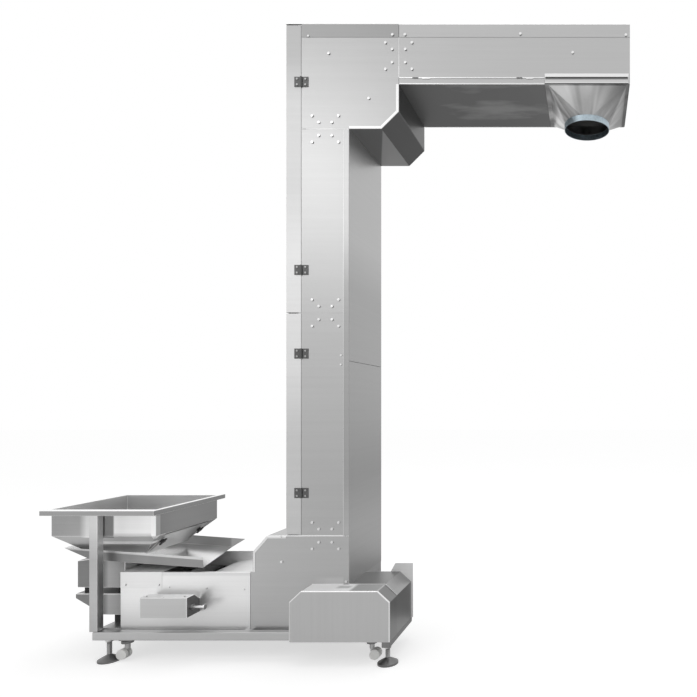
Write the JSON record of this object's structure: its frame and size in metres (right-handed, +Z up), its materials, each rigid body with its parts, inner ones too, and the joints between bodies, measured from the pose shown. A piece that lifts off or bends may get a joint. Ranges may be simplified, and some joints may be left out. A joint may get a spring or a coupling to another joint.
{
  "type": "bucket elevator",
  "caption": "Stainless Z-type bucket elevator with a vibrating feeder hopper, hinged column doors, chamfered drive housing and a round discharge collar.",
  "frame": {"origin": "on the floor under the middle of the machine's bounding box", "axes": "+X along the machine from the feeder to the discharge, +Y into its depth from the hinge side, +Z up"},
  "size_m": [2.899, 0.6728, 3.165],
  "materials": {
    "casing_steel": "fine brushed stainless sheet",
    "drive_steel": "fine brushed stainless sheet",
    "feeder_steel": "brushed stainless sheet, slightly polished inside",
    "drive_box_steel": "brushed stainless sheet",
    "frame_steel": "brushed stainless square tube",
    "chute_steel": "hand-formed stainless sheet",
    "collar_zinc": "galvanised sheet",
    "hinge_black": "black painted",
    "knob_black": "matt black",
    "foot_steel": "dark plated",
    "wheel_plastic": "pale nylon",
    "caster_steel": "plated",
    "mount_rubber": "black rubber",
    "screw_steel": "plated",
    "bucket_steel": "pressed stainless sheet, slightly worn"
  },
  "bodies": {
    "machine": {"back_panels": "casing_steel", "boot_front_panel": "casing_steel", "boot_top_cover": "casing_steel", "bucket_chains": "bucket_steel", "buckets": "bucket_steel", "caster_plates": "caster_steel", "chain_wheels": "bucket_steel", "column_lower_front_panel": "casing_steel", "column_right_covers": "casing_steel", "column_upper_front_panel": "casing_steel", "corner_front_panel": "casing_steel", "corner_inner_cover": "casing_steel", "corner_top_cover": "casing_steel", "discharge_chute": "chute_steel", "discharge_collar": "collar_zinc", "door_jambs": "casing_steel", "drive_back_plate": "drive_steel", "drive_front_guard": "drive_steel", "drive_housing": "drive_steel", "end_plates": "casing_steel", "feed_front_panel": "casing_steel", "feed_top_cover": "casing_steel", "feeder_shelf": "frame_steel", "feeder_tray": "feeder_steel", "floor_plates": "casing_steel", "frame_back_rail": "frame_steel", "frame_cross_rails": "frame_steel", "frame_end_rail": "frame_steel", "frame_front_rail": "frame_steel", "gate_knobs": "knob_black", "head_bottom_cover": "casing_steel", "head_front_panel": "casing_steel", "head_top_cover": "casing_steel", "hinge_fixed_leaves": "hinge_black", "hopper_body": "feeder_steel", "hopper_posts": "frame_steel", "hopper_rim": "feeder_steel", "inlet_pan": "casing_steel", "levelling_feet": "foot_steel", "splice_plates": "casing_steel", "take_up_cover": "casing_steel", "take_up_screw": "screw_steel", "vibrator_base_box": "drive_box_steel", "vibrator_mounts": "mount_rubber", "vibrator_upper_box": "drive_box_steel"},
    "door_upper": {"door_upper": "casing_steel", "door_upper_hinge_leaves": "hinge_black"},
    "door_lower": {"door_lower": "casing_steel", "door_lower_hinge_leaves": "hinge_black"},
    "slide_gate": {"slide_gate": "feeder_steel"},
    "caster_front_left": {"caster_fork_front_left": "caster_steel"},
    "wheels_front_left": {"caster_wheels_front_left": "wheel_plastic"},
    "caster_front_right": {"caster_fork_front_right": "caster_steel"},
    "wheels_front_right": {"caster_wheels_front_right": "wheel_plastic"},
    "caster_rear_left": {"caster_fork_rear_left": "caster_steel"},
    "wheels_rear_left": {"caster_wheels_rear_left": "wheel_plastic"},
    "caster_rear_right": {"caster_fork_rear_right": "caster_steel"},
    "wheels_rear_right": {"caster_wheels_rear_right": "wheel_plastic"}
  },
  "joints": [
    {"name": "upper_door", "type": "hinge", "parent": "machine", "child": "door_upper", "pos_m": [-0.1925, -0.2175, 2.4], "axis": [0, 0, 1], "range_deg": [0, 110]},
    {"name": "lower_door", "type": "hinge", "parent": "machine", "child": "door_lower", "pos_m": [-0.1925, -0.2175, 1.165], "axis": [0, 0, 1], "range_deg": [0, 110]},
    {"name": "gate_slide", "type": "slide", "parent": "machine", "child": "slide_gate", "axis": [0.7363, 0, 0.6766], "range_m": [0, 0.08]},
    {"name": "swivel_front_left", "type": "hinge", "parent": "machine", "child": "caster_front_left", "pos_m": [-1.0305, -0.2525, 0.08], "axis": [0, 0, 1], "continuous": true},
    {"name": "roll_front_left", "type": "hinge", "parent": "caster_front_left", "child": "wheels_front_left", "pos_m": [-1.0485, -0.2525, 0.035], "axis": [0, 1, 0], "continuous": true},
    {"name": "swivel_front_right", "type": "hinge", "parent": "machine", "child": "caster_front_right", "pos_m": [0.1755, -0.2525, 0.08], "axis": [0, 0, 1], "continuous": true},
    {"name": "roll_front_right", "type": "hinge", "parent": "caster_front_right", "child": "wheels_front_right", "pos_m": [0.1935, -0.2525, 0.035], "axis": [0, 1, 0], "continuous": true},
    {"name": "swivel_rear_left", "type": "hinge", "parent": "machine", "child": "caster_rear_left", "pos_m": [-1.0305, 0.2875, 0.08], "axis": [0, 0, 1], "continuous": true},
    {"name": "roll_rear_left", "type": "hinge", "parent": "caster_rear_left", "child": "wheels_rear_left", "pos_m": [-1.0485, 0.2875, 0.035], "axis": [0, 1, 0], "continuous": true},
    {"name": "swivel_rear_right", "type": "hinge", "parent": "machine", "child": "caster_rear_right", "pos_m": [-0.0305, 0.2875, 0.08], "axis": [0, 0, 1], "continuous": true},
    {"name": "roll_rear_right", "type": "hinge", "parent": "caster_rear_right", "child": "wheels_rear_right", "pos_m": [-0.0125, 0.2875, 0.035], "axis": [0, 1, 0], "continuous": true}
  ]
}
